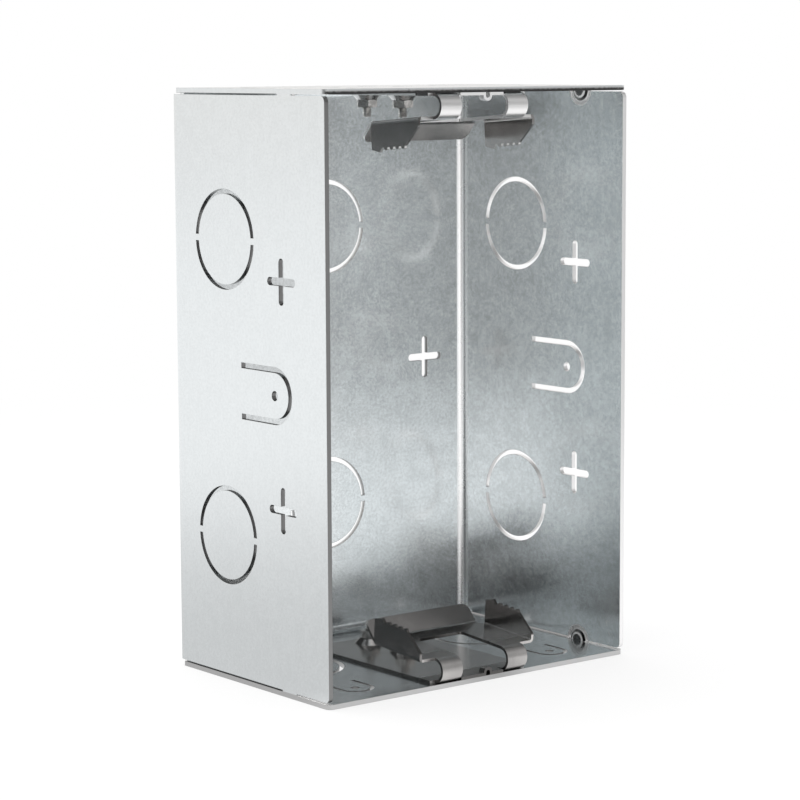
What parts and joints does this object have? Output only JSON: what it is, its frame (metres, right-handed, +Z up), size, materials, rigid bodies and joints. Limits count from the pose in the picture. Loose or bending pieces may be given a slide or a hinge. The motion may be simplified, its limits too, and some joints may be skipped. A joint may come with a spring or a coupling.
{
  "type": "electrical back box",
  "caption": "Upright open-front wall box of folded galvanised sheet with round knockouts, cross slots, fixing tabs and a toothed spring clip at each end.",
  "frame": {"origin": "middle of the underside of the box", "axes": "+X to the right seen from the open front, +Y towards the back wall, +Z up"},
  "size_m": [0.078, 0.054, 0.12],
  "materials": {
    "galvanised_sheet": "galvanised zinc with a fine mottled grain, semi-bright",
    "spring_steel": "dark polished spring steel",
    "zinc_fastener": "bright zinc plated"
  },
  "bodies": {
    "root": {"box_shell": "galvanised_sheet", "bottom_spring_clip": "spring_steel", "top_spring_clip": "spring_steel", "bottom_front_screw": "zinc_fastener", "bottom_front_nut": "zinc_fastener", "bottom_rear_screw": "zinc_fastener", "bottom_rear_nut": "zinc_fastener", "top_front_screw": "zinc_fastener", "top_front_nut": "zinc_fastener", "top_rear_screw": "zinc_fastener", "top_rear_nut": "zinc_fastener"}
  },
  "joints": []
}
